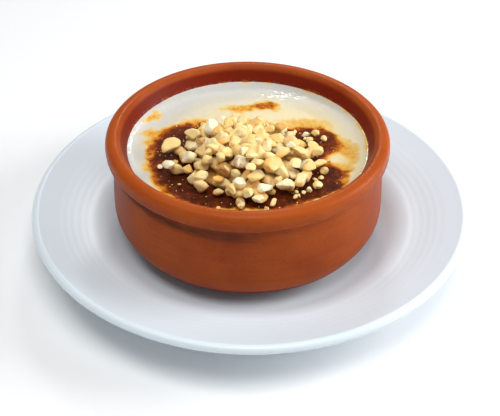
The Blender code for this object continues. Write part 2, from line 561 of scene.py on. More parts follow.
@dataclass(frozen=True)
class ClayFinish:
    """Red clay, fired smooth, with throwing streaks, pits, painted shade under the lip and baked-on milk.
    """

    body: Colour = (0.305, 0.048, 0.0070)
    warm: Colour = (0.395, 0.075, 0.011)
    dark: Colour = (0.20, 0.030, 0.006)
    inner: Colour = (0.17, 0.010, 0.002)
    # Painted shade: the dark colour laid under the lip, strongest at the front left.
    lip_shade: Colour = (0.085, 0.026, 0.014)
    worn: Colour = (0.43, 0.080, 0.0095)
    dust: Colour = (0.43, 0.120, 0.036)
    milk: Colour = (0.46, 0.24, 0.16)
    clouds: Patches = Patches(45.0, 0.36, 0.66)
    streaks: Patches = Patches(60.0, 0.48, 0.74)
    pits: Patches = Patches(1100.0, 0.62, 0.70)
    dusting: Patches = Patches(260.0, 0.42, 0.62)
    lip_shade_patches: Patches = Patches(420.0, 0.26, 0.56)
    filming: Patches = Patches(900.0, 0.46, 0.62)
    streak_stretch: Point3 = (0.35, 0.35, 9.0)
    streak_strength: float = 0.22
    pit_strength: float = 0.60
    pit_depth: float = 0.8
    lip_shade_dullness: float = 0.25
    lip_polish: float = 0.18
    roughness: tuple[float, float] = (0.36, 0.50)
    specular: float = 0.09
    grain_scale: float = 1500.0
    grain_coarseness: float = 0.8
    grain_depth: float = 0.08 * MM

    def build(self, groups: EffectGroups) -> bpy.types.Material:
        """Build the material from the shared groups.

        Args:
            groups: The shared shader node groups.

        Returns:
            The material.
        """
        material, wiring, shader = open_material("red_clay")
        place = wiring.place()
        drawn_out = wiring.stretched(place, self.streak_stretch)
        clouds = groups.mottle(wiring, place, self.clouds)
        streaks = groups.mottle(wiring, drawn_out, self.streaks)
        pits = groups.mottle(wiring, place, self.pits)
        dusty = groups.painted_mottle(wiring, place, self.dusting, "dust")
        # The painted shade under the lip, broken into mottled patches.
        lip_shaded = groups.painted_mottle(wiring, drawn_out, self.lip_shade_patches, "lip_shade")
        filmed = groups.painted_mottle(wiring, place, self.filming, "milk_film")
        worn = wiring.attribute("lip_wear")
        colour = wiring.mix(clouds, self.body, self.warm)
        colour = wiring.mix(wiring.math("MULTIPLY", streaks, self.streak_strength), colour, self.dark)
        colour = wiring.mix(wiring.math("MULTIPLY", pits, self.pit_strength), colour, self.dark)
        colour = wiring.mix(worn, colour, self.worn)
        colour = wiring.mix(dusty, colour, self.dust)
        # Painted shade under the lip.
        colour = wiring.mix(lip_shaded, colour, self.lip_shade)
        colour = wiring.mix(wiring.attribute("inner_wall"), colour, self.inner)
        colour = wiring.mix(filmed, colour, self.milk)
        dulled = wiring.math("MULTIPLY", lip_shaded, self.lip_shade_dullness)
        polished = wiring.math("MULTIPLY", worn, self.lip_polish)
        roughness = wiring.map_range(clouds, 0.0, 1.0, *self.roughness)
        roughness = wiring.math("ADD", roughness, dulled, clamp=True)
        roughness = wiring.math("SUBTRACT", roughness, polished, clamp=True)
        height = groups.grain(wiring, place, self.grain_scale, self.grain_coarseness)
        height = wiring.math("SUBTRACT", height, wiring.math("MULTIPLY", pits, self.pit_depth))
        finish_shader(wiring, shader, colour, roughness, height, self.grain_depth)
        shader.inputs["Specular IOR Level"].default_value = self.specular
        return material


@dataclass(frozen=True)
class SkinFinish:
    """The pudding's baked milk skin, from moist white through amber to nearly black brown."""

    white: Colour = (0.58, 0.58, 0.545)
    cream: Colour = (0.73, 0.61, 0.34)
    speck: Colour = (0.38, 0.078, 0.006)
    stops: tuple[tuple[float, Colour], ...] = (
        (0.00, (0.72, 0.62, 0.38)),
        (0.20, (0.77, 0.51, 0.13)),
        (0.38, (0.73, 0.30, 0.022)),
        (0.54, (0.38, 0.078, 0.006)),
        (0.72, (0.148, 0.023, 0.0035)),
        (1.00, (0.050, 0.011, 0.004)),
    )
    ragged_scale: float = 620.0
    ragged_strength: float = 3.2
    crust_scale: float = 260.0
    specks: Patches = Patches(1500.0, 0.60, 0.68)
    speck_strength: float = 0.35
    wetting: Patches = Patches(520.0, 0.46, 0.54)
    roughness: tuple[float, float] = (0.28, 0.58)
    coat_roughness: float = 0.07
    specular: float = 0.09
    glow: float = 0.12
    glow_colours: Colour = (1.0, 0.7, 0.4)
    glow_depth: float = 2.0 * MM
    relief_scale: float = 1100.0
    relief_coarseness: float = 1.4
    relief_depth: float = 0.22 * MM

    def burn(self, wiring: Wiring, place: Socket) -> Socket:
        """Return how burnt the skin is, with ragged patch edges and uneven crusts.

        Args:
            wiring: The material's wiring.
            place: The place on the skin.

        Returns:
            A number from 0 to 1.
        """
        browning = wiring.attribute("browning")
        fine_inputs = {"Vector": place, "Scale": self.ragged_scale, "Detail": 6.0, "Roughness": 0.75}
        fine = wiring.add("TexNoise", fine_inputs)
        ragged = wiring.math("SUBTRACT", fine.outputs[0], 0.5)
        partly = wiring.math("MULTIPLY", browning, wiring.math("SUBTRACT", 1.15, browning))
        ragged = wiring.math("MULTIPLY", ragged, wiring.math("MULTIPLY", partly, self.ragged_strength))
        burn = wiring.math("ADD", browning, ragged, clamp=True)
        crust_inputs = {"Vector": place, "Scale": self.crust_scale, "Detail": 8.0, "Roughness": 0.8}
        crusts = wiring.add("TexNoise", crust_inputs)
        uneven = wiring.map_range(crusts.outputs[0], 0.36, 0.60, -0.30, 0.10)
        uneven = wiring.math("MULTIPLY", uneven, wiring.map_range(burn, 0.45, 0.8, 0.0, 1.0))
        return wiring.math("ADD", burn, uneven, clamp=True)

    def build(self, groups: EffectGroups) -> bpy.types.Material:
        """Build the material from the shared groups.

        Args:
            groups: The shared shader node groups.

        Returns:
            The material.
        """
        material, wiring, shader = open_material("baked_milk")
        place = wiring.place()
        burn = self.burn(wiring, place)
        fresh = wiring.mix(wiring.attribute("warmth"), self.white, self.cream)
        burnt = wiring.ramp(burn, self.stops)
        colour = wiring.mix(wiring.map_range(burn, 0.02, 0.16, 0.0, 1.0), fresh, burnt)
        specks = groups.mottle(wiring, place, self.specks)
        speckled = wiring.map_range(burn, 0.5, 0.8, 0.0, self.speck_strength)
        colour = wiring.mix(wiring.math("MULTIPLY", specks, speckled), colour, self.speck)
        roughness = wiring.map_range(burn, 0.1, 0.7, *self.roughness)
        height = groups.grain(wiring, place, self.relief_scale, self.relief_coarseness)
        height = wiring.math("MULTIPLY", height, wiring.map_range(burn, 0.1, 0.6, 0.12, 1.0))
        finish_shader(wiring, shader, colour, roughness, height, self.relief_depth)
        wet = groups.painted_mottle(wiring, place, self.wetting, "wet")
        wiring.tree.links.new(wet, shader.inputs["Coat Weight"])
        shader.inputs["Coat Roughness"].default_value = self.coat_roughness
        shader.inputs["Specular IOR Level"].default_value = self.specular
        shader.inputs["Subsurface Weight"].default_value = self.glow
        shader.inputs["Subsurface Radius"].default_value = self.glow_colours
        shader.inputs["Subsurface Scale"].default_value = self.glow_depth
        return material


@dataclass(frozen=True)
class NutFinish:
    """Chopped blanched hazelnut: creamy cut faces, yellower outsides, toasted edges and painted shade
    between the bits.
    """

    cut_face: Colour = (0.96, 0.82, 0.45)
    outside: Colour = (0.95, 0.68, 0.25)
    toasted: Colour = (0.90, 0.47, 0.085)
    pale: Colour = (0.97, 0.90, 0.66)
    husk: Colour = (0.40, 0.16, 0.045)
    # Painted shade: the colour laid in the gaps between bits and under bits that lie above.
    gap_shade: Colour = (0.46, 0.22, 0.045)
    clouds: Patches = Patches(420.0, 0.38, 0.66)
    toasting: Patches = Patches(260.0, 0.30, 0.50)
    husking: Patches = Patches(330.0, 0.46, 0.54)
    cloud_strength: float = 0.35
    roughness: tuple[float, float] = (0.42, 0.60)
    glow: float = 0.15
    glow_colours: Colour = (1.0, 0.6, 0.3)
    glow_depth: float = 1.5 * MM
    grain_scale: float = 1700.0
    grain_coarseness: float = 1.0
    grain_depth: float = 0.10 * MM

    def build(self, groups: EffectGroups) -> bpy.types.Material:
        """Build the material from the shared groups.

        Args:
            groups: The shared shader node groups.

        Returns:
            The material.
        """
        material, wiring, shader = open_material("chopped_nut")
        place = wiring.place()
        clouds = groups.mottle(wiring, place, self.clouds)
        toast = groups.painted_mottle(wiring, place, self.toasting, "toast")
        husk = groups.painted_mottle(wiring, place, self.husking, "husk")
        colour = wiring.mix(wiring.attribute("cut"), self.outside, self.cut_face)
        colour = wiring.mix(wiring.math("MULTIPLY", clouds, self.cloud_strength), colour, self.outside)
        colour = wiring.mix(wiring.attribute("pale"), colour, self.pale)
        colour = wiring.mix(toast, colour, self.toasted)
        colour = wiring.mix(husk, colour, self.husk)
        # Painted shade in the gaps and under the bits above.
        colour = wiring.mix(wiring.attribute("gap_shade"), colour, self.gap_shade)
        roughness = wiring.map_range(clouds, 0.0, 1.0, *self.roughness)
        height = groups.grain(wiring, place, self.grain_scale, self.grain_coarseness)
        finish_shader(wiring, shader, colour, roughness, height, self.grain_depth)
        shader.inputs["Subsurface Weight"].default_value = self.glow
        shader.inputs["Subsurface Radius"].default_value = self.glow_colours
        shader.inputs["Subsurface Scale"].default_value = self.glow_depth
        return material


# ---------------------------------------------------------------- the plate


@dataclass
class Plate:
    """The round plate: foot ring, well, wide rim with turned rings, and a rounded edge."""

    well_radius: float = 66.1 * MM
    well_edge_height: float = 13.5 * MM
    well_floor_radius: float = 50.0 * MM
    well_floor_height: float = 7.1 * MM
    foot_inner_radius: float = 53.0 * MM
    foot_outer_radius: float = 56.0 * MM
    foot_depth: float = 2.8 * MM
    foot_draft: float = 0.8 * MM
    foot_rounding: float = 0.3 * MM
    foot_rise: float = 1.2 * MM
    edge_half_width: float = 2.5 * MM
    edge_half_thickness: float = 2.0 * MM
    thickness: float = 4.0 * MM
    cove_curve: float = 1.8
    rim_curve: float = 1.35
    softening: float = 4.0 * MM
    ring_start: float = 71.5 * MM
    ring_spacing: float = 3.0 * MM
    ring_count: int = 5
    ring_depth: float = 0.04 * MM
    spacing: float = 0.8 * MM
    segments: int = 240
    radius: float = field(init=False)
    edge_height: float = field(init=False)
    edge_top: float = field(init=False)

    def __post_init__(self) -> None:
        """Take the plate's radius and height from its CAD node."""
        _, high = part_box("plate")
        self.radius = high[0]
        self.edge_height = high[2]
        self.edge_top = self.radius - self.edge_half_width

    def plain_height(self, radius: float) -> float:
        """Return the height of the upper side before the well's edge is softened.

        Args:
            radius: The distance from the axis.

        Returns:
            The height over the floor.
        """
        if radius <= self.well_floor_radius:
            return self.well_floor_height
        if radius <= self.well_radius:
            share = (radius - self.well_floor_radius) / (self.well_radius - self.well_floor_radius)
            return blend(self.well_floor_height, self.well_edge_height, share**self.cove_curve)
        share = (radius - self.well_radius) / (self.edge_top - self.well_radius)
        return blend(self.well_edge_height, self.edge_height, min(share, 1.0) ** self.rim_curve)

    def top_height(self, radius: float) -> float:
        """Return the height of the upper side, with the well's edge softened.

        Args:
            radius: The distance from the axis.

        Returns:
            The height over the floor.
        """
        reach = min(self.softening, self.edge_top - radius)
        samples = 9
        offsets = [blend(-reach, reach, step / (samples - 1)) for step in range(samples)]
        return sum(self.plain_height(radius + offset) for offset in offsets) / samples

    def top_profile(self) -> list[Point2]:
        """Return the upper side, from the axis to just below the top of the edge.

        Returns:
            The (radius, height) points.
        """
        start = self.well_floor_radius - self.softening
        steps = 36
        radii = [blend(start, self.edge_top, step / steps) for step in range(steps)]
        slope = [(radius, self.top_height(radius)) for radius in radii]
        return [(0.0, self.well_floor_height), (AXIS_RADIUS, self.well_floor_height)] + slope

    def under_profile(self) -> list[Point2]:
        """Return the underside, from below the edge back to the axis.

        Returns:
            The (radius, height) points.
        """
        hollow = 0.56
        edge_under = self.edge_height - 2.0 * self.edge_half_thickness
        shoulder = (self.well_radius, self.well_edge_height - self.thickness)
        halfway = (blend(self.edge_top, shoulder[0], 0.5), blend(edge_under, shoulder[1], hollow))
        return [
            halfway,
            shoulder,
            (self.foot_outer_radius + self.foot_draft, self.foot_depth + self.foot_rise),
            (self.foot_outer_radius, self.foot_rounding),
            (self.foot_outer_radius - self.foot_rounding, 0.0),
            (self.foot_inner_radius + self.foot_rounding, 0.0),
            (self.foot_inner_radius, self.foot_rounding),
            (self.foot_inner_radius - self.foot_draft, self.foot_depth),
            (AXIS_RADIUS, self.foot_depth),
            (0.0, self.foot_depth),
        ]

    def ring_relief(self, radius: float) -> float:
        """Return how far the turned rings lower the rim at a radius.

        Args:
            radius: The distance from the axis.

        Returns:
            The depth there.
        """
        along = (radius - self.ring_start) / self.ring_spacing
        if not -0.5 < along < self.ring_count - 0.5:
            return 0.0
        return self.ring_depth * 0.5 * (1.0 + math.cos(2.0 * math.pi * along))

    def warp(self, radius: float, height: float, angle: float) -> Point2:
        """Lower a point of the rim's upper side into the turned rings.

        Args:
            radius: The point's distance from the axis.
            height: Its height.
            angle: Its direction round the axis, in radians; not used.

        Returns:
            The true distance and height.
        """
        if self.well_radius < radius < self.edge_top:
            if height > self.top_height(radius) - 0.5 * self.thickness:
                height -= self.ring_relief(radius)
        return radius, height

    def build(self, glaze: bpy.types.Material) -> None:
        """Build the plate and dress it.

        Args:
            glaze: Its material.
        """
        centre = (self.edge_top, self.edge_height - self.edge_half_thickness)
        edge = arc(centre, self.edge_half_width, self.edge_half_thickness, 90.0, -90.0, 16)
        profile = smooth_profile(self.top_profile() + edge + self.under_profile(), self.spacing)
        piece = turned_piece("white_plate", profile[::-1], self.segments, self.warp)
        dress(piece, glaze, Slot.GLAZE, "plate")


# ---------------------------------------------------------------- the clay bowl


@dataclass
class ClayBowl:
    """The hand-thrown clay bowl with a rolled lip, thick wall and slightly uneven turning."""

    base_radius: float = 39.0 * MM
    base_rounding: float = 0.8 * MM
    belly_radius: float = 58.0 * MM
    belly_rise: float = 16.8 * MM
    neck_radius: float = 56.6 * MM
    lip_roll_radius: float = 4.3 * MM
    lip_squareness: float = 2.7
    lip_drift: float = -0.4 * MM
    inside_top_radius: float = 54.8 * MM
    inside_radius: float = 50.4 * MM
    inside_floor_radius: float = 33.0 * MM
    inside_corner_rise: float = 19.0 * MM
    fill_flare: float = 0.6 * MM
    fill_depth: float = 6.0 * MM
    floor_thickness: float = 6.5 * MM
    ridge_depth: float = 0.028 * MM
    ridge_spacing: float = 2.6 * MM
    wobble: float = 0.18 * MM
    # Distances from the axis between which each of the clay's marks fades in or out.
    outer_face: tuple[float, float] = (52.0 * MM, 54.0 * MM)
    wall_face: tuple[float, float] = (55.0 * MM, 56.0 * MM)
    lip_face: tuple[float, float] = (54.5 * MM, 55.5 * MM)
    milk_line: tuple[float, float] = (53.5 * MM, 54.5 * MM)
    # The painted shade under the lip: directions round the axis in degrees, then sizes on its left and
    # right.
    lip_shade_middle: float = -130.0
    lip_shade_reach: tuple[float, float] = (32.0, 54.0)
    lip_shade_spread: tuple[float, float] = (-160.0, -95.0)
    lip_shade_below_top: tuple[float, float] = (10.6 * MM, 12.2 * MM)
    lip_shade_half_width: tuple[float, float] = (2.6 * MM, 4.2 * MM)
    spacing: float = 0.7 * MM
    segments: int = 256
    centre_x: float = field(init=False)
    lip_radius: float = field(init=False)
    base_height: float = field(init=False)
    top_height: float = field(init=False)
    fill_height: float = field(init=False)

    def __post_init__(self) -> None:
        """Take the bowl's place, lip and heights from its CAD node, and the fill from the pudding's."""
        low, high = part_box("clay_bowl")
        self.fill_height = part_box("rice_pudding")[1][2]
        self.centre_x = 0.5 * (low[0] + high[0])
        self.lip_radius = 0.5 * (high[0] - low[0])
        self.base_height = low[2]
        self.top_height = high[2]

    def outside_profile(self) -> list[Point2]:
        """Return the outside, from the axis below to the neck under the lip.

        Returns:
            The (radius, height) points.
        """
        rounding = self.base_rounding
        foot_centre = (self.base_radius - rounding, self.base_height + rounding)
        foot = arc(foot_centre, rounding, rounding, -90.0, -60.0, 3)
        belly_centre = (self.base_radius, self.base_height + self.belly_rise)
        belly = arc(belly_centre, self.belly_radius - self.base_radius, self.belly_rise, -84.0, 0.0, 26)
        neck_height = self.top_height - 2.0 * self.lip_roll_radius
        wall = []
        steps = 15
        for step in range(1, steps + 1):
            share = step / steps
            radius = blend(self.belly_radius, self.neck_radius, share**2)
            wall.append((radius, blend(self.base_height + self.belly_rise, neck_height, share)))
        return [(0.0, self.base_height), (AXIS_RADIUS, self.base_height)] + foot + belly + wall

    def lip_profile(self) -> list[Point2]:
        """Return the rolled lip, from its underside over the top to its inner edge.

        Returns:
            The (radius, height) points.
        """
        power = self.lip_squareness
        centre = (self.lip_radius - self.lip_roll_radius, self.top_height - self.lip_roll_radius)
        roll = []
        for radius, height in arc((0.0, 0.0), 1.0, 1.0, -62.0, 90.0, 30):
            reach = self.lip_roll_radius * (abs(radius) ** power + abs(height) ** power) ** (-1.0 / power)
            roll.append((centre[0] + reach * radius, centre[1] + reach * height))
        shoulder = [
            (self.inside_top_radius, self.top_height - 0.25 * MM),
            (self.inside_top_radius - 0.8 * MM, self.top_height - 1.0 * MM),
            (self.inside_top_radius - 1.5 * MM, self.top_height - 2.2 * MM),
        ]
        return roll + shoulder

    def inside_profile(self) -> list[Point2]:
        """Return the inside, from the lip's inner edge down to the axis.

        Returns:
            The (radius, height) points.
        """
        floor = self.base_height + self.floor_thickness
        rise = self.inside_corner_rise
        width = self.inside_radius - self.inside_floor_radius
        corner = arc((self.inside_floor_radius, floor + rise), width, rise, 0.0, -90.0, 12)
        side = [
            (self.inside_radius + self.fill_flare, self.fill_height),
            (self.inside_radius, self.fill_height - self.fill_depth),
        ]
        return side + corner + [(AXIS_RADIUS, floor), (0.0, floor)]

    def from_axis(self, place: Vector) -> float:
        """Return a place's distance from the bowl's axis."""
        return math.hypot(place.x - self.centre_x, place.y)

    def lean(self, height: float) -> float:
        """Return how far the turning axis stands from the lip's centre at a height."""
        share = (height - self.base_height) / (self.top_height - self.base_height)
        return self.lip_drift * (share - 1.0)

    def warp(self, radius: float, height: float, angle: float) -> Point2:
        """Add the throwing ridges and the uneven turning to a point.

        Args:
            radius: The point's distance from the axis.
            height: Its height.
            angle: Its direction round the axis, in radians.

        Returns:
            The true distance and height.
        """
        if radius < 1.5 * AXIS_RADIUS:
            return radius, height
        x = radius * math.cos(angle)
        y = radius * math.sin(angle)
        ridges = math.sin(2.0 * math.pi * height / self.ridge_spacing + 1.5 * math.sin(angle))
        ridges *= self.ridge_depth * (0.4 + 0.6 * abs(ripple(x, y, height, 30.0 * MM)))
        above_foot = smooth_step(self.base_height + 1.0 * MM, self.base_height + 8.0 * MM, height)
        below_top = 1.0 - smooth_step(self.top_height - 9.0 * MM, self.top_height - 4.0 * MM, height)
        uneven = self.wobble * ripple(x, y, height, 26.0 * MM, 3.1) * min(above_foot, below_top)
        return radius + ridges * above_foot * below_top + uneven, height

    def lip_shade(self, place: Vector) -> float:
        """Return how dark the painted shade under the lip is at a place.

        Args:
            place: A place on the bowl.

        Returns:
            A share from 0 to 1.
        """
        angle = math.degrees(math.atan2(place.y, place.x - self.centre_x))
        around = 1.0 - smooth_step(*self.lip_shade_reach, abs(angle - self.lip_shade_middle))
        spread = smooth_step(*self.lip_shade_spread, angle)
        middle = self.top_height - blend(*self.lip_shade_below_top, spread)
        half_width = blend(*self.lip_shade_half_width, spread)
        across = 1.0 - smooth_step(0.5 * MM, half_width, abs(place.z - middle))
        outside = smooth_step(*self.outer_face, self.from_axis(place))
        return blend(1.0, 0.80, spread) * around * across * outside

    def inner_wall(self, place: Vector) -> float:
        """Return how much of the darker inner wall under the lip shows at a place."""
        below_lip = 1.0 - smooth_step(self.top_height - 2.7 * MM, self.top_height - 1.0 * MM, place.z)
        return 0.92 * below_lip * (1.0 - smooth_step(*self.wall_face, self.from_axis(place)))

    def lip_wear(self, place: Vector) -> float:
        """Return how much paler the handled lip is at a place.

        Args:
            place: A place on the bowl.

        Returns:
            A share from 0 to 1.
        """
        upper = smooth_step(self.top_height - 6.5 * MM, self.top_height - 1.5 * MM, place.z)
        patchy = 0.75 + 0.25 * ripple(*place, 14.0 * MM, 11.0)
        return 0.8 * upper * patchy * smooth_step(*self.lip_face, self.from_axis(place))

    def dust(self, place: Vector) -> float:
        """Return how dusty the clay is at a place: under the lip and in faint bands on the wall.

        Args:
            place: A place on the bowl.

        Returns:
            A share from 0 to 1.
        """
        neck = self.top_height - 9.5 * MM
        near_lip = 1.0 - smooth_step(2.0 * MM, 9.0 * MM, abs(place.z - neck))
        patchy = 0.5 + 0.5 * ripple(*place, 18.0 * MM, 1.7)
        return 0.05 + 0.30 * near_lip * patchy

    def milk_film(self, place: Vector) -> float:
        """Return how much baked-on milk lies on the inner wall at a place.

        Args:
            place: A place on the bowl.

        Returns:
            A share from 0 to 1.
        """
        inside = 1.0 - smooth_step(*self.milk_line, self.from_axis(place))
        ragged = 0.8 * MM * ripple(place.x, place.y, 0.0, 4.0 * MM, 5.0)
        above = place.z - self.fill_height + ragged
        return 0.45 * inside * (1.0 - smooth_step(0.0, 0.9 * MM, above))

    def build(self, clay: bpy.types.Material) -> None:
        """Build the bowl and dress it.

        Args:
            clay: Its material.
        """
        corners = self.outside_profile() + self.lip_profile() + self.inside_profile()
        profile = smooth_profile(corners, self.spacing)
        piece = turned_piece("clay_pot", profile, self.segments, self.warp, self.centre_x)
        for vertex in piece.data.vertices:
            vertex.co.x += self.lean(vertex.co.z)
        # These marks include the painted shade under the lip.
        for rule in (self.lip_shade, self.dust, self.inner_wall, self.lip_wear, self.milk_film):
            paint_by_place(piece, rule.__name__, rule)
        dress(piece, clay, Slot.CLAY, "clay_bowl")


# ---------------------------------------------------------------- the pudding


@dataclass(frozen=True)
class Scorch:
    """An oval browned patch of the skin, in millimetres from the bowl's axis."""

    x: float
    y: float
    half_width: float
    half_depth: float
    turn: float = 0.0
    strength: float = 1.0
    softness: float = 0.0

    def offset(self, x: float, y: float) -> float:
        """Return how far out a place lies: 0 in the patch's middle and 1 on its outline.

        Args:
            x: The place's distance to the right of the bowl's axis, in millimetres.
            y: Its distance behind the axis, in millimetres.

        Returns:
            The share of the way from the middle to the outline.
        """
        cosine = math.cos(math.radians(self.turn))
        sine = math.sin(math.radians(self.turn))
        along = (cosine * (x - self.x) + sine * (y - self.y)) / self.half_width
        across = (cosine * (y - self.y) - sine * (x - self.x)) / self.half_depth
        return math.hypot(along, across)

    def amount(self, x: float, y: float) -> float:
        """Return how browned the patch makes a place.

        Args:
            x: The place's distance to the right of the bowl's axis, in millimetres.
            y: Its distance behind the axis, in millimetres.

        Returns:
            A value from 0 to the patch's strength.
        """
        outline = smooth_step(1.0 - self.softness, 1.0 + self.softness, self.offset(x, y))
        return self.strength * (1.0 - outline)


# The first five join into the burnt ring round the nuts.  Then come the small stains at the back, the
# two by the left wall, the haze on the left, and the amber haze on the right and behind the nuts.
SCORCHES = (
    Scorch(-23.5, -8.0, 17.2, 25.5, strength=0.95, softness=0.20),
    Scorch(-2.5, -31.0, 30.5, 13.9, strength=0.95, softness=0.18),
    Scorch(27.0, 2.0, 12.0, 12.5, strength=0.86, softness=0.26),
    Scorch(26.5, -25.0, 14.0, 12.0, turn=25.0, strength=0.92, softness=0.20),
    Scorch(0.0, -8.0, 30.0, 24.0, strength=0.95, softness=0.20),
    Scorch(8.0, 30.5, 6.2, 3.8, strength=0.54, softness=0.60),
    Scorch(-3.5, 29.0, 7.0, 3.4, strength=0.34, softness=0.70),
    Scorch(-42.5, 22.0, 2.4, 5.0, turn=-30.0, strength=0.30, softness=0.75),
    Scorch(-43.5, 9.0, 4.0, 2.4, turn=20.0, strength=0.20, softness=0.80),
    Scorch(-38.0, 4.0, 7.0, 8.0, strength=0.22, softness=0.60),
    Scorch(43.0, -3.0, 4.0, 8.5, strength=0.30, softness=0.60),
    Scorch(38.5, -16.0, 5.5, 4.5, strength=0.24, softness=0.60),
    Scorch(25.0, 17.0, 12.0, 4.5, strength=0.24, softness=0.70),
)


@dataclass
class BakedPudding:
    """The pudding that fills the bowl, with its browned and blistered milk skin."""

    creamy_patch: Scorch = Scorch(7.0, -7.0, 37.0, 35.0)
    wet_patch: Scorch = Scorch(15.5, 40.5, 13.0, 4.5)
    flat_radius: float = 36.0 * MM
    sag: float = 0.5 * MM
    climb: float = 0.7 * MM
    wall_overlap: float = 0.8 * MM
    side_depth: float = 6.0 * MM
    side_gap: float = 0.6 * MM
    underside_gap: float = 0.2 * MM
    bead_height: float = 0.18 * MM
    burnt_sink: float = 0.15 * MM
    blister_height: float = 0.30 * MM
    wrinkle_height: float = 0.12 * MM
    grain_height: float = 0.10 * MM
    rings: int = 120
    segments: int = 420
    centre_x: float = field(init=False)
    radius: float = field(init=False)
    height: float = field(init=False)
    floor: float = field(init=False)

    def __post_init__(self) -> None:
        """Take the pudding's place and size from its CAD node."""
        low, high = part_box("rice_pudding")
        self.centre_x = 0.5 * (low[0] + high[0])
        self.radius = 0.5 * (high[0] - low[0])
        self.height = high[2]
        self.floor = low[2]

    def from_axis(self, x: float, y: float) -> Point2:
        """Return a place in millimetres from the bowl's axis."""
        return (x - self.centre_x) / MM, y / MM

    def browning(self, x: float, y: float) -> float:
        """Return how browned the skin is at a place, from 0 to 1, with ragged outlines.

        Args:
            x: The place along X.
            y: The place along Y.

        Returns:
            A share from 0 to 1.
        """
        across, along = self.from_axis(x, y)
        across += 2.4 * ripple(x, y, 0.0, 9.0 * MM, 0.3) + 2.0 * ripple(x, y, 0.0, 3.2 * MM, 4.0)
        along += 2.4 * ripple(x, y, 0.0, 9.0 * MM, 7.7) + 2.0 * ripple(x, y, 0.0, 3.2 * MM, 9.0)
        untouched = 1.0
        for scorch in SCORCHES:
            untouched *= 1.0 - scorch.amount(across, along)
        # The line along the wall adds its stain and its painted shade to the browning.
        return 1.0 - untouched * (1.0 - self.edge_stain_and_shade(x, y))

    def edge_stain_and_shade(self, x: float, y: float) -> float:
        """Return how dark the thin ragged line along the wall is, more so on the right: partly a browned
        stain and partly painted shade under the lip.

        Args:
            x: The place along X.
            y: The place along Y.

        Returns:
            A share from 0 to 1.
        """
        share = math.hypot(x - self.centre_x, y) / self.radius
        share += 0.012 * ripple(x, y, 0.0, 2.4 * MM, 18.0)
        strength = 0.05 + 0.10 * (x - self.centre_x) / self.radius
        strength += 0.30 * ripple(x, y, 0.0, 5.0 * MM, 21.0)
        return max(0.0, strength) * smooth_step(0.968, 0.998, share)

    def warmth(self, x: float, y: float) -> float:
        """Return how creamy the unbrowned skin is at a place, from 0 to 1.

        Args:
            x: The place along X.
            y: The place along Y.

        Returns:
            A share from 0 to 1.
        """
        near_burn = 1.0 - smooth_step(0.85, 1.60, self.creamy_patch.offset(*self.from_axis(x, y)))
        cloudy = 0.12 * ripple(x, y, 0.0, 12.0 * MM, 2.0)
        return min(1.0, max(0.0, near_burn + cloudy))

    def wetness(self, x: float, y: float) -> float:
        """Return how wet the skin is at a place: a beaded patch near the back wall, on the right.

        Args:
            x: The place along X.
            y: The place along Y.

        Returns:
            A share from 0 to 1.
        """
        patch = 1.0 - smooth_step(0.6, 1.0, self.wet_patch.offset(*self.from_axis(x, y)))
        edge = smooth_step(0.955, 0.985, math.hypot(x - self.centre_x, y) / self.radius)
        return min(1.0, patch + 0.5 * edge)

    def skin_height(self, x: float, y: float, browned: float) -> float:
        """Return the skin's height at a place with its sags, blisters and wrinkles.

        Args:
            x: The place along X.
            y: The place along Y.
            browned: How browned the skin is there.

        Returns:
            The height above the origin.
        """
        distance = math.hypot(x - self.centre_x, y)
        angle = math.atan2(y, x - self.centre_x)
        outwards = max(0.0, (distance - self.flat_radius) / (self.radius - self.flat_radius))
        waves = 0.5 + 0.3 * math.sin(3.0 * angle + 0.6) + 0.2 * math.sin(7.0 * angle + 2.0)
        dip = self.sag * waves * math.sin(math.pi * min(outwards, 1.0))
        ragged_climb = self.climb * (0.8 + 0.2 * ripple(x, y, 0.0, 5.0 * MM, 6.0))
        climb = min(ragged_climb, self.climb) * min(outwards, 1.0) ** 8
        blisters = self.blister_height * abs(ripple(x, y, 0.0, 3.4 * MM, 1.0)) * browned
        wrinkles = self.wrinkle_height * ripple(x, y, 0.0, 1.3 * MM, 8.0) * (0.15 + 0.85 * browned)
        inner = 1.0 - smooth_step(0.8, 1.0, outwards)
        grains = self.grain_height * max(0.0, ripple(x, y, 0.0, 3.0 * MM, 12.0)) * (1.0 - browned)
        relief = (blisters + wrinkles + grains) * inner - self.burnt_sink * browned
        beads = self.bead_height * ripple(x, y, 0.0, 1.7 * MM, 15.0) * self.wetness(x, y)
        return self.height - self.climb - dip + climb + relief + beads

    def skin_points(self) -> tuple[list[Point3], list[float]]:
        """Return the skin's points, ring by ring from the middle, and how browned each is.

        Returns:
            The points, and a share from 0 to 1 for each.
        """
        middle_browned = self.browning(self.centre_x, 0.0)
        points = [(self.centre_x, 0.0, self.skin_height(self.centre_x, 0.0, middle_browned))]
        browned = [middle_browned]
        for ring in range(1, self.rings + 1):
            radius = (self.radius + self.wall_overlap) * ring / self.rings
            for cosine, sine in round_the_axis(self.segments):
                x = self.centre_x + radius * cosine
                y = radius * sine
                browned.append(self.browning(x, y))
                points.append((x, y, min(self.skin_height(x, y, browned[-1]), self.height)))
        return points, browned

    def hidden_points(self) -> list[Point3]:
        """Return the points of the side and the underside, which the bowl hides, down to the axis.

        Returns:
            The points, the last one on the axis.
        """
        inner = self.radius - self.side_gap
        lowest = self.floor + self.underside_gap
        rows = (
            (inner, self.height - self.side_depth),
            (inner, blend(self.floor, self.height, 0.45)),
            (inner * 0.92, blend(self.floor, self.height, 0.15)),
            (inner * 0.62, lowest),
        )
        points = []
        for radius, height in rows:
            for cosine, sine in round_the_axis(self.segments):
                points.append((self.centre_x + radius * cosine, radius * sine, height))
        return points + [(self.centre_x, 0.0, lowest)]

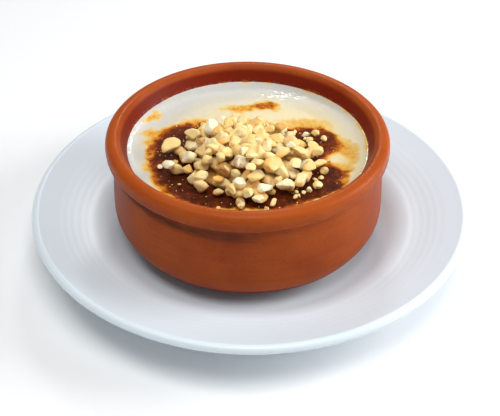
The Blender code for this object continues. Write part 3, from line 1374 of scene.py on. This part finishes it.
    def build(self, skin: bpy.types.Material) -> None:
        """Build the pudding and dress it.

        Args:
            skin: Its material.
        """
        points, browned = self.skin_points()
        hidden = self.hidden_points()
        rings = (len(points) + len(hidden) - 2) // self.segments
        # These rings run downwards, so each face is turned over.
        faces = [(face[0], *face[:0:-1]) for face in ring_faces(rings, self.segments)]
        piece = new_piece("baked_pudding", points + hidden, faces)
        paint(piece, "browning", np.array(browned + [0.0] * len(hidden)))
        paint_by_place(piece, "warmth", lambda place: self.warmth(place.x, place.y))
        paint_by_place(piece, "wet", lambda place: self.wetness(place.x, place.y))
        dress(piece, skin, Slot.SKIN, "rice_pudding")


# ---------------------------------------------------------------- the chopped nuts


@dataclass
class Bit:
    """One chopped piece of nut. Its tone, toast, husk and pale values are shares from 0 to 1."""

    place: Vector
    size: float
    axes: Vector
    turn: Quaternion
    tone: float
    toast: float
    husk: float
    pale: float = 0.0
    # Painted shade from the bits that lie over this one.
    covered_shade: float = 0.0
    fine: bool = True


@dataclass
class BitShaper:
    """Makes the points of chopped bits: an egg shape with some sides sliced flat."""

    edge_sharpness: float = 30.0
    cut_count: tuple[int, int] = (7, 10)
    cut_depth: tuple[float, float] = (0.46, 0.82)
    cut_blur: float = 0.16
    bump_height: float = 0.060
    coarse_bumps: float = 2.2
    fine_bumps: float = 5.5
    fine_bump_share: float = 0.4

    def ball(self, subdivisions: int) -> tuple[np.ndarray, list[Face]]:
        """Return the points and faces of a unit ball.

        Args:
            subdivisions: How finely the ball is divided.

        Returns:
            The points as rows, and the faces.
        """
        shape = bmesh.new()
        bmesh.ops.create_icosphere(shape, subdivisions=subdivisions, radius=1.0)
        points = np.array([vertex.co[:] for vertex in shape.verts])
        faces = [tuple(vertex.index for vertex in face.verts) for face in shape.faces]
        shape.free()
        return points, faces

    def bump(self, point: Vector, offset: Vector) -> float:
        """Return how far the surface bulges at a point, as coarse and fine noise."""
        coarse = noise.noise(point * self.coarse_bumps + offset)
        return coarse + self.fine_bump_share * noise.noise(point * self.fine_bumps + offset)

    def shape(
        self, bit: Bit, directions: np.ndarray, dice: np.random.Generator
    ) -> tuple[np.ndarray, np.ndarray]:
        """Work out one bit's points.

        Args:
            bit: The bit.
            directions: The unit ball's points.
            dice: The random numbers that choose its cuts.

        Returns:
            The bit's points in place, and how much each lies on a cut face.
        """
        power = self.edge_sharpness
        cuts = dice.integers(self.cut_count[0], self.cut_count[1] + 1)
        normals = dice.normal(size=(cuts, 3))
        normals /= np.linalg.norm(normals, axis=1, keepdims=True)
        depths = dice.uniform(*self.cut_depth, size=cuts)
        round_gauge = np.linalg.norm(directions, axis=1)
        cut_gauges = np.maximum(directions @ normals.T, 0.0) / depths
        gauge = (round_gauge**power + (cut_gauges**power).sum(axis=1)) ** (1.0 / power)
        nearness = cut_gauges.max(axis=1) / round_gauge
        on_cut = np.clip((nearness - 1.0) / self.cut_blur + 0.5, 0.0, 1.0)
        points = directions / gauge[:, None]
        offset = Vector(dice.uniform(-50.0, 50.0, size=3))
        bumps = np.array([self.bump(Vector(point), offset) for point in points])
        points = points * (1.0 + self.bump_height * bumps)[:, None]
        points = points * (np.array(bit.axes) * bit.size)
        turn = np.array(bit.turn.to_matrix())
        return points @ turn.T + np.array(bit.place), on_cut


def join_bits(name: str, bits: list[Bit], subdivisions: int, seed: int) -> bpy.types.Object:
    """Make one piece of many bits.

    Args:
        name: The piece's name.
        bits: The bits.
        subdivisions: How finely each fine bit is made; the others are one step coarser.
        seed: Chooses the bits' shapes.

    Returns:
        The joined piece, with the values that its material reads painted on.
    """
    deepest_gap_shade = 0.95
    shaper = BitShaper()
    balls = {True: shaper.ball(subdivisions), False: shaper.ball(subdivisions - 1)}
    dice = np.random.default_rng(seed)
    painted = {"cut": [], "gap_shade": [], "toast": [], "husk": [], "pale": []}
    points = []
    faces = []
    first = 0
    for bit in bits:
        directions, ball_faces = balls[bit.fine]
        placed, on_cut = shaper.shape(bit, directions, dice)
        points.append(placed)
        faces.extend(tuple(first + index for index in face) for face in ball_faces)
        first += len(directions)
        # Painted shade: each bit is darker low down and where other bits lie over it.
        hidden = np.clip((bit.place.z - placed[:, 2]) / (0.7 * bit.size), 0.0, 1.0)
        painted["cut"].append(on_cut * bit.tone)
        painted["gap_shade"].append(np.clip(deepest_gap_shade * hidden**1.3 + bit.covered_shade, 0.0, deepest_gap_shade))
        for share in ("toast", "husk", "pale"):
            painted[share].append(np.full(len(directions), getattr(bit, share)))
    piece = new_piece(name, np.concatenate(points).tolist(), faces)
    for attribute, values in painted.items():
        paint(piece, attribute, np.concatenate(values))
    return piece


# The bits that lie apart from the heap: each one's place to the right of and behind the bowl's axis, and
# its size, all in millimetres.
LOOSE_BITS = (
    (-33.5, -8.0, 3.9),
    (-33.0, -22.5, 3.2),
    (27.5, 6.5, 2.2),
    (31.0, 3.0, 1.7),
    (30.0, -20.5, 2.0),
    (27.0, -31.0, 2.4),
    (9.0, -42.0, 1.9),
    (3.0, -44.0, 2.8),
    (-4.0, -43.0, 2.4),
    (27.0, -12.0, 3.2),
    (28.5, -18.5, 3.0),
    (24.0, -23.0, 3.4),
    (20.0, -30.5, 3.7),
    (13.5, -36.0, 3.6),
    (-7.5, -38.5, 3.2),
    (-1.0, -40.5, 3.0),
    (5.5, -37.5, 3.2),
    (25.5, -6.0, 2.4),
    (-20.0, -31.0, 3.3),
)


@dataclass
class NutHeap:
    """The heap of chopped hazelnuts: a core, layers of bits dropped on each other, crumbs and dust."""

    size_low: float = 2.4 * MM
    size_high: float = 4.2 * MM
    crumb_low: float = 0.8 * MM
    crumb_high: float = 1.7 * MM
    dust_low: float = 0.20 * MM
    dust_high: float = 0.42 * MM
    nesting: float = 0.80
    stacking: float = 0.82
    clearance: float = 0.86
    push_rounds: int = 14
    lift: float = 0.62
    crumb_lift: float = 0.5
    dust_lift: float = 0.3
    top_room: float = 1.15
    loose_limit: float = 1.55
    shade_step: float = 0.06
    most_shade: float = 0.30
    layers: tuple[tuple[int, float], ...] = ((62, 1.0), (52, 0.88), (34, 0.68), (16, 0.44), (4, 0.2))
    axis_offset: float = 3.0 * MM
    crumb_count: int = 150
    crumb_spread: float = 1.12
    dust_count: int = 140
    dust_spread: float = 0.93
    dust_browning: float = 0.6
    core_width: float = 0.66
    core_rise: float = 0.30
    core_rings: int = 25
    core_segments: int = 96
    core_lump: float = 0.9 * MM
    seed: int = 23
    centre: Vector = field(init=False)
    half_size: Vector = field(init=False)
    skin: float = field(init=False)
    top: float = field(init=False)

    def __post_init__(self) -> None:
        """Take the heap's place, outline and top from its CAD node."""
        low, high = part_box("nut_heap")
        self.centre = Vector((0.5 * (low[0] + high[0]), 0.5 * (low[1] + high[1]), low[2]))
        self.half_size = Vector((0.5 * (high[0] - low[0]), 0.5 * (high[1] - low[1]), high[2] - low[2]))
        self.skin = low[2]
        self.top = high[2]

    def new_bit(self, dice: random.Random, x: float, y: float, size: float) -> Bit:
        """Return a bit of random shape and colour over a point, not yet at its height.

        Args:
            dice: The random numbers that choose it.
            x: The place along X.
            y: The place along Y.
            size: About half its width.

        Returns:
            The bit.
        """
        axes = Vector((dice.uniform(0.95, 1.25), dice.uniform(0.78, 1.0), dice.uniform(0.62, 0.86)))
        tilt_axis = (dice.uniform(-1.0, 1.0), dice.uniform(-1.0, 1.0), 0.0)
        tilt = Quaternion(tilt_axis, dice.uniform(0.0, 0.55))
        turn = tilt @ Quaternion((0.0, 0.0, 1.0), dice.uniform(0.0, 2.0 * math.pi))
        toast = dice.choice((0.0, 0.0, 0.1, 0.2, 0.4, 0.9)) * dice.uniform(0.6, 1.0)
        husk = dice.uniform(0.4, 0.8) if dice.random() < 0.06 else 0.0
        pale = dice.uniform(0.4, 0.9) if dice.random() < 0.12 else 0.0
        if pale > 0.0:
            toast = 0.0
        return Bit(Vector((x, y, 0.0)), size, axes, turn, dice.uniform(0.15, 1.0), toast, husk, pale)

    def drop(self, bit: Bit, resting: list[Bit], lift: float) -> None:
        """Lower a bit until it lies on the skin or on the bits under it.

        Args:
            bit: The bit that is dropped.
            resting: The bits that lie there already.
            lift: How high over the skin its middle lies at least, in shares of its size.
        """
        height = self.skin + lift * bit.size
        for other in resting:
            reach = self.nesting * (bit.size + other.size)
            flat = math.hypot(bit.place.x - other.place.x, bit.place.y - other.place.y)
            if flat < reach:
                over = self.stacking * math.sqrt(reach * reach - flat * flat)
                height = max(height, other.place.z + over)
        bit.place.z = min(height, self.top - self.top_room * bit.size)

    def pile_up(self) -> list[Bit]:
        """Return the heap's bits, dropped layer by layer.

        Returns:
            The bits, from the lowest layer up.
        """
        dice = random.Random(self.seed)
        golden_angle = math.pi * (3.0 - math.sqrt(5.0))
        bits = []
        for layer, (count, spread) in enumerate(self.layers):
            laid = []
            for index in range(count):
                share = spread * math.sqrt((index + 0.5) / count)
                angle = index * golden_angle + 1.7 * layer + dice.uniform(-0.2, 0.2)
                size = blend(self.size_low, self.size_high, dice.random() ** 1.3)
                x = self.centre.x + (self.half_size.x - size) * share * math.cos(angle)
                y = self.centre.y + (self.half_size.y - size) * share * math.sin(angle)
                bit = self.new_bit(dice, x, y, size)
                bit.fine = layer > 0
                laid.append(bit)
            self.push_apart(laid, spread)
            for bit in laid:
                self.drop(bit, bits, self.lift)
            bits = bits + laid
        self.shade_covered(bits)
        return bits

    def push_apart(self, laid: list[Bit], spread: float) -> None:
        """Move the bits of one layer sideways until they hardly cut into each other.

        Args:
            laid: The layer's bits.
            spread: How much of the heap's outline the layer fills.
        """
        for _ in range(self.push_rounds):
            for index, bit in enumerate(laid):
                for other in laid[:index]:
                    between = bit.place - other.place
                    short = self.clearance * (bit.size + other.size) - between.length
                    if short > 0.0:
                        push = between.normalized() * (0.5 * short)
                        bit.place += push
                        other.place -= push
            for bit in laid:
                from_centre = Vector((bit.place.x - self.centre.x, bit.place.y - self.centre.y))
                room_x = spread * (self.half_size.x - bit.size)
                room_y = spread * (self.half_size.y - bit.size)
                share = math.hypot(from_centre.x / room_x, from_centre.y / room_y)
                if share > 1.0:
                    bit.place.x = self.centre.x + from_centre.x / share
                    bit.place.y = self.centre.y + from_centre.y / share

    def shade_covered(self, bits: list[Bit]) -> None:
        """Note how much the bits above each bit hide it from the light.

        Args:
            bits: The heap's bits, each with its place.
        """
        for bit in bits:
            for other in bits:
                flat = math.hypot(bit.place.x - other.place.x, bit.place.y - other.place.y)
                if other.place.z > bit.place.z and flat < bit.size + other.size:
                    bit.covered_shade += self.shade_step * min(1.0, (other.place.z - bit.place.z) / bit.size)
            bit.covered_shade = min(bit.covered_shade, self.most_shade)

    def loose_bits(self, resting: list[Bit]) -> list[Bit]:
        """Return the few bits that lie apart from the heap on the skin.

        Args:
            resting: The bits of the heap.

        Returns:
            The loose bits.
        """
        dice = random.Random(self.seed + 1)
        bits = []
        for x, y, size in LOOSE_BITS:
            bit = self.new_bit(dice, x * MM + self.centre.x + self.axis_offset, y * MM, size * MM)
            bit.toast *= 0.4
            self.drop(bit, resting + bits, self.lift)
            bit.place.z = min(bit.place.z, self.skin + self.loose_limit * bit.size)
            bits.append(bit)
        return bits

    def crumbs(self, resting: list[Bit]) -> list[Bit]:
        """Return the small crumbs that lie on the skin, in and round the heap.

        Args:
            resting: The bits that lie there already.

        Returns:
            The crumbs.
        """
        dice = random.Random(self.seed + 2)
        bits = []
        for _ in range(self.crumb_count):
            share = math.sqrt(dice.random()) * self.crumb_spread
            angle = dice.uniform(0.0, 2.0 * math.pi)
            x = self.centre.x + self.half_size.x * share * math.cos(angle)
            y = self.centre.y + self.half_size.y * share * math.sin(angle)
            bit = self.new_bit(dice, x, y, dice.uniform(self.crumb_low, self.crumb_high))
            self.drop(bit, resting, self.crumb_lift)
            on_skin = bit.place.z < self.skin + 1.2 * self.crumb_lift * bit.size
            if on_skin:
                bits.append(bit)
        return bits

    def dust(self, pudding: BakedPudding) -> list[Bit]:
        """Return the nut dust on the browned skin.

        Args:
            pudding: The pudding whose skin it lies on.

        Returns:
            The specks, as tiny bits.
        """
        dice = random.Random(self.seed + 3)
        bits = []
        while len(bits) < self.dust_count:
            radius = pudding.radius * self.dust_spread * math.sqrt(dice.random())
            angle = dice.uniform(0.0, 2.0 * math.pi)
            x = pudding.centre_x + radius * math.cos(angle)
            y = radius * math.sin(angle)
            amount = pudding.browning(x, y)
            if amount < self.dust_browning:
                continue
            bit = self.new_bit(dice, x, y, dice.uniform(self.dust_low, self.dust_high))
            bit.place.z = pudding.skin_height(x, y, amount) + self.dust_lift * bit.size
            bit.toast = 0.0
            bits.append(bit)
        return bits

    def core(self) -> bpy.types.Object:
        """Return the mound under the bits, smaller than the heap all round.

        Returns:
            The mound, not yet dressed.
        """
        half_width = self.core_width * self.half_size.x
        half_depth = self.core_width * self.half_size.y
        rise = self.core_rise * self.half_size.z
        vertices = [(self.centre.x, self.centre.y, self.skin)]
        for ring in range(self.core_rings):
            share = 1.0 - ring / self.core_rings
            for cosine, sine in round_the_axis(self.core_segments):
                x = self.centre.x + half_width * share * cosine
                y = self.centre.y + half_depth * share * sine
                mound = rise * math.cos(0.5 * math.pi * share) ** 0.8
                lumps = self.core_lump * ripple(x, y, 0.0, 3.0 * MM, 2.5) * (1.0 - share**4)
                vertices.append((x, y, self.skin + (mound + lumps if ring else 0.0)))
        vertices.append((self.centre.x, self.centre.y, self.skin + rise))
        piece = new_piece("nut_core", vertices, ring_faces(self.core_rings, self.core_segments))
        # The mound is painted in full gap shade and darkened with toast and husk colours, as painted shade
        # between the bits.
        painted = {"cut": 0.0, "toast": 0.75, "husk": 0.35, "pale": 0.0, "gap_shade": 1.0}
        for attribute, value in painted.items():
            paint(piece, attribute, np.full(len(vertices), value))
        return piece

    def build(self, nut: bpy.types.Material, pudding: BakedPudding) -> None:
        """Build the core, the bits, the crumbs and the dust, and dress them.

        Args:
            nut: Their material.
            pudding: The pudding that they lie on.
        """
        piled = self.pile_up()
        loose = self.loose_bits(piled)
        crumbs = self.crumbs(piled + loose)
        dress(self.core(), nut, Slot.NUT)
        dress(join_bits("chopped_nuts", piled + loose, 4, self.seed), nut, Slot.NUT, "nut_heap")
        dress(join_bits("nut_crumbs", crumbs, 3, self.seed + 5), nut, Slot.NUT)
        dress(join_bits("nut_dust", self.dust(pudding), 2, self.seed + 6), nut, Slot.NUT)


# ---------------------------------------------------------------- stage, light and camera


@dataclass
class Stage:
    """The pale floor the plate stands on."""

    half_size: float = 3.0
    squares: int = 12
    drop: float = 0.2 * MM
    colour: Colour = (0.95, 0.955, 0.96)
    cloud_colour: Colour = (0.93575, 0.940675, 0.9456)
    cloud_scale: float = 3.0
    roughness: float = 0.8

    def build(self) -> None:
        """Build the floor."""
        steps = self.squares
        marks = [blend(-self.half_size, self.half_size, step / steps) for step in range(steps + 1)]
        vertices = [(x, y, -self.drop) for y in marks for x in marks]
        faces = []
        for row in range(steps):
            for column in range(steps):
                first = row * (steps + 1) + column
                faces.append((first, first + 1, first + steps + 2, first + steps + 1))
        floor = new_piece("pale_floor", vertices, faces)
        material, wiring, shader = open_material("pale_floor")
        clouds = wiring.add("TexNoise", {"Vector": wiring.place(), "Scale": self.cloud_scale})
        colour = wiring.mix(clouds.outputs[0], self.colour, self.cloud_colour)
        wiring.tree.links.new(colour, shader.inputs["Base Color"])
        shader.inputs["Roughness"].default_value = self.roughness
        floor.data.materials.append(material)


@dataclass(frozen=True)
class SoftBox:
    """A round soft light that hangs beside or over the dish and points at it."""

    name: str
    azimuth: float
    elevation: float
    distance: float
    size: float
    power: float
    colour: Colour = (1.0, 1.0, 1.0)

    def build(self, target: Vector) -> None:
        """Hang the light, aimed at the target.

        Args:
            target: The point that the light faces.
        """
        azimuth = math.radians(self.azimuth)
        elevation = math.radians(self.elevation)
        across = math.cos(elevation)
        back = Vector((math.sin(azimuth) * across, -math.cos(azimuth) * across, math.sin(elevation)))
        data = bpy.data.lights.new(self.name, "AREA")
        data.shape = "DISK"
        data.size = self.size
        data.energy = self.power
        data.color = self.colour
        light = bpy.data.objects.new(self.name, data)
        light.location = target + self.distance * back
        light.rotation_mode = "QUATERNION"
        light.rotation_quaternion = back.to_track_quat("Z", "Y")
        bpy.context.collection.objects.link(light)


SOFT_BOXES = (
    SoftBox("side_light", 95.0, 24.0, 0.8, 0.50, 5.4, (0.98, 0.99, 1.0)),
    SoftBox("overhead_light", 0.0, 74.0, 0.9, 0.60, 4.6),
    SoftBox("left_light", -92.0, 61.0, 0.9, 0.24, 0.9),
    SoftBox("back_light", 176.0, 37.0, 1.0, 0.18, 1.3),
)


@dataclass
class Camera:
    """The camera that looks down at the dish from the front."""

    elevation: float = 37.56
    distance: float = 0.4875
    target: Vector = field(default_factory=lambda: Vector((-0.0002, 0.0, 0.0159)))
    roll: float = 0.33
    lens: float = 79.2
    sensor: float = 36.0
    nearest: float = 0.01
    farthest: float = 50.0

    def build(self) -> None:
        """Build the camera and make it the scene's."""
        elevation = math.radians(self.elevation)
        back = Vector((0.0, -math.cos(elevation), math.sin(elevation)))
        data = bpy.data.cameras.new("studio_camera")
        data.lens = self.lens
        data.sensor_width = self.sensor
        data.clip_start = self.nearest
        data.clip_end = self.farthest
        camera = bpy.data.objects.new("studio_camera", data)
        facing = back.to_track_quat("Z", "Y").to_matrix().to_4x4()
        tilt = Matrix.Rotation(math.radians(self.roll), 4, "Z")
        camera.matrix_world = Matrix.Translation(self.target + self.distance * back) @ facing @ tilt
        bpy.context.collection.objects.link(camera)
        bpy.context.scene.camera = camera


@dataclass
class RoomLight:
    """The plain pale light that fills the room."""

    strength: float = 0.25
    colour: Colour = (1.0, 1.0, 1.0)

    def build(self) -> None:
        """Fill the room with the light."""
        world = bpy.data.worlds.new("pale_room")
        world.use_nodes = True
        sky = world.node_tree.nodes["Background"]
        sky.inputs["Color"].default_value = (*self.colour, 1.0)
        sky.inputs["Strength"].default_value = self.strength
        bpy.context.scene.world = world


def light_target() -> Vector:
    """Return the point that the lights face, a little over the middle of the dish."""
    height_share = 0.6
    low, high = CAD_BOX
    return Vector((0.5 * (low[0] + high[0]), 0.5 * (low[1] + high[1]), height_share * high[2]))


def main() -> None:
    """Build the dish, its light and its camera."""
    logging.basicConfig(level=logging.INFO, format="%(name)s: %(message)s")
    groups = EffectGroups()
    pudding = BakedPudding()
    Plate().build(GlazeFinish().build(groups))
    ClayBowl().build(ClayFinish().build(groups))
    pudding.build(SkinFinish().build(groups))
    NutHeap().build(NutFinish().build(groups), pudding)
    Stage().build()
    for soft_box in SOFT_BOXES:
        soft_box.build(light_target())
    RoomLight().build()
    bpy.context.scene.view_settings.view_transform = "Standard"
    Camera().build()


if __name__ == "__main__":
    main()
